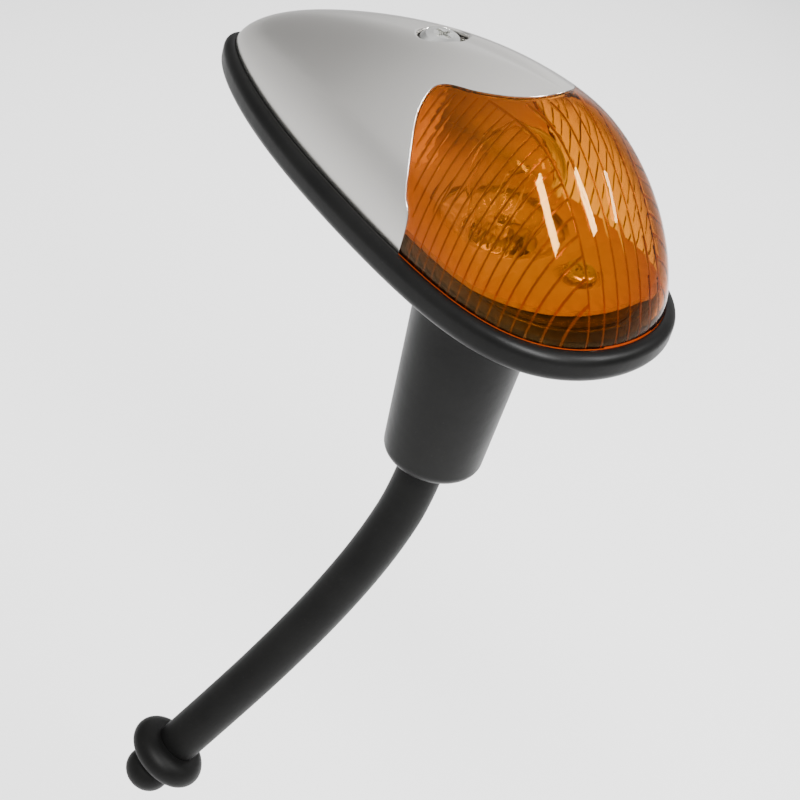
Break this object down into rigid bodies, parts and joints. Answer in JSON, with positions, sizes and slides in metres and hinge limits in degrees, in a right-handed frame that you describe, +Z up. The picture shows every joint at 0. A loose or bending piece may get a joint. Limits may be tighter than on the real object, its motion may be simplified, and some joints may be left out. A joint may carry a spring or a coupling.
{
  "type": "turn signal indicator",
  "caption": "Teardrop turn signal lamp: chrome cap and amber lens on a rubber seal, with a boot, a wire hose, and a bayonet bulb on a sprung contact.",
  "frame": {"origin": "centre of the rubber seal's flat underside, where it lies on the wing", "axes": "+Z up out of the wing, +X towards the round lens end, -X towards the narrow tail, Y across, symmetric about Y = 0 apart from the hose"},
  "size_m": [0.168, 0.0836, 0.2767],
  "materials": {
    "seal_rubber": "satin moulded",
    "hose_rubber": "matte extruded",
    "chrome": "polished plating",
    "amber_lens": "clear amber, fluted inside",
    "casting": "black coated zinc casting",
    "reflector": "bright pressed",
    "zinc_steel": "zinc plated",
    "brass": "plain",
    "solder": "dull solder",
    "insulator": "phenolic",
    "black_glass": "glassy",
    "clear_glass": "clear",
    "washer_rubber": "matte",
    "filament": "drawn tungsten"
  },
  "bodies": {
    "lamp_body": {"base_seal": "seal_rubber", "wire_hose": "hose_rubber", "hose_end_grommet": "hose_rubber", "housing_base": "casting", "reflector_plate": "reflector", "lens": "amber_lens", "chrome_cap": "chrome", "cap_screw": "chrome", "cap_screw_washer": "washer_rubber", "fixing_screws": "zinc_steel", "fixing_washers": "zinc_steel", "socket_shell": "zinc_steel", "socket_rivets": "brass", "socket_insulator": "insulator", "live_terminal": "brass", "earth_terminal": "brass", "contact_spring": "zinc_steel"},
    "contact_slide": {"contact_disc": "insulator", "contact_button": "brass"},
    "bulb": {"bulb_cap": "brass", "bulb_insulator": "black_glass", "bulb_contact": "solder", "bulb_glass": "clear_glass", "bulb_stem": "clear_glass", "bulb_supports": "zinc_steel", "bulb_filament": "filament"}
  },
  "joints": [
    {"name": "bulb_push", "type": "slide", "parent": "lamp_body", "child": "contact_slide", "axis": [0, 0, -1], "range_m": [0, 0.0025], "stiffness_N_per_m": 1200, "springref_m": -0.003, "deforming": ["contact_spring"]},
    {"name": "bulb_twist", "type": "hinge", "parent": "contact_slide", "child": "bulb", "pos_m": [0.0303, 0, 0], "axis": [0, 0, 1], "range_deg": [0, 18]}
  ]
}
